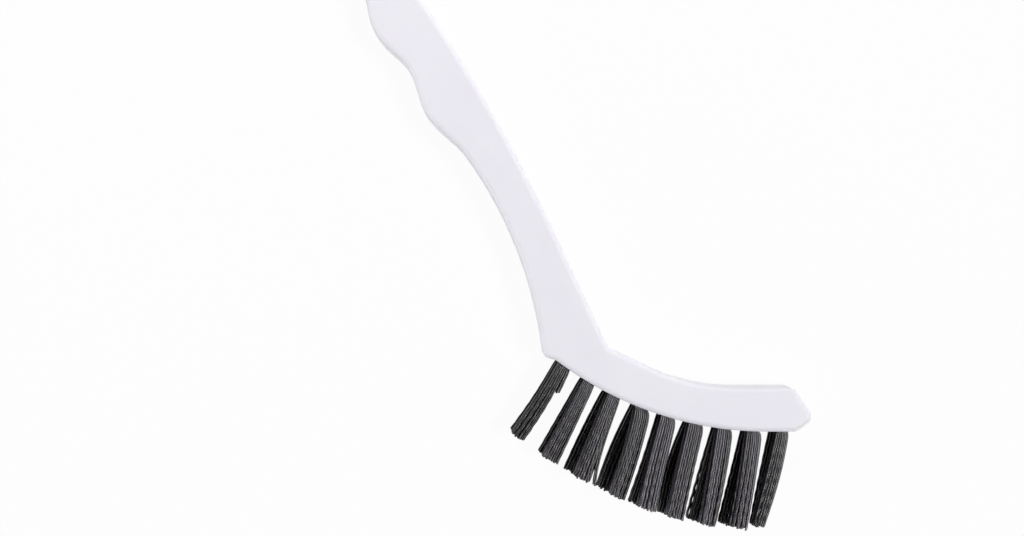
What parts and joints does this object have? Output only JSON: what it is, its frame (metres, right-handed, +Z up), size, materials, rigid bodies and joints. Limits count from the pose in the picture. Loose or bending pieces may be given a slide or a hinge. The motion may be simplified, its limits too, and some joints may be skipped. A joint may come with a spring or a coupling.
{
  "type": "grout brush",
  "caption": "Hand brush for tile joints: a one-piece finger-grooved handle with a curved head that holds two rows of stiff black bristle tufts.",
  "frame": {"origin": "centre of the box around the brush as it lies on its side, on the surface that it lies on", "axes": "+X along the grip towards the head, +Z up through the thickness, bristles towards -Y, toe of the head towards +Y"},
  "size_m": [0.2154, 0.065, 0.0127],
  "materials": {
    "handle": "satin moulded polypropylene",
    "bristles": "crimped nylon filament",
    "anchor": "drawn flat wire"
  },
  "bodies": {
    "root": {"handle": "handle", "tuft_front_1": "bristles", "tuft_front_2": "bristles", "tuft_front_3": "bristles", "tuft_front_4": "bristles", "tuft_front_5": "bristles", "tuft_front_6": "bristles", "tuft_front_7": "bristles", "tuft_front_8": "bristles", "tuft_front_9": "bristles", "tuft_rear_1": "bristles", "tuft_rear_2": "bristles", "tuft_rear_3": "bristles", "tuft_rear_4": "bristles", "tuft_rear_5": "bristles", "tuft_rear_6": "bristles", "tuft_rear_7": "bristles", "tuft_rear_8": "bristles", "tuft_rear_9": "bristles", "anchor_front_1": "anchor", "anchor_front_2": "anchor", "anchor_front_3": "anchor", "anchor_front_4": "anchor", "anchor_front_5": "anchor", "anchor_front_6": "anchor", "anchor_front_7": "anchor", "anchor_front_8": "anchor", "anchor_front_9": "anchor", "anchor_rear_1": "anchor", "anchor_rear_2": "anchor", "anchor_rear_3": "anchor", "anchor_rear_4": "anchor", "anchor_rear_5": "anchor", "anchor_rear_6": "anchor", "anchor_rear_7": "anchor", "anchor_rear_8": "anchor", "anchor_rear_9": "anchor"}
  },
  "joints": []
}
